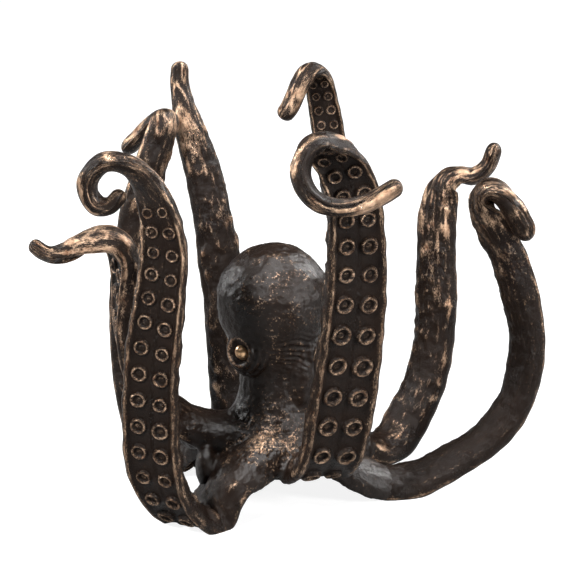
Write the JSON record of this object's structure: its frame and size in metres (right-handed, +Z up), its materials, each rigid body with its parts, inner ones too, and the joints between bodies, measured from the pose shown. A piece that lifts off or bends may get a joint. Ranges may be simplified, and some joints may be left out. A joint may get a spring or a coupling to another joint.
{
  "type": "octopus figurine",
  "caption": "Tabletop octopus sculpture with a raised round head and arms that rise round it like an open basket, suckers outward.",
  "frame": {"origin": "on the ground, under the middle of the whole figure's box", "axes": "+Z up, +X to the right of somebody who looks at the front of the figure, +Y away from them"},
  "size_m": [0.2783, 0.2298, 0.2308],
  "materials": {
    "bronze_finish": "cast resin with a dark antique bronze finish, copper rubbed on the ridges, suckers and tips",
    "eye_gilt": "polished gilt dome, slightly worn"
  },
  "bodies": {
    "root": {"body": "bronze_finish", "right_eye": "eye_gilt", "left_eye": "eye_gilt", "arm_front_left": "bronze_finish", "arm_front_right": "bronze_finish", "arm_right_front": "bronze_finish", "arm_right_rear": "bronze_finish", "arm_rear": "bronze_finish", "arm_rear_left": "bronze_finish", "arm_left_rear": "bronze_finish", "arm_left": "bronze_finish"}
  },
  "joints": []
}
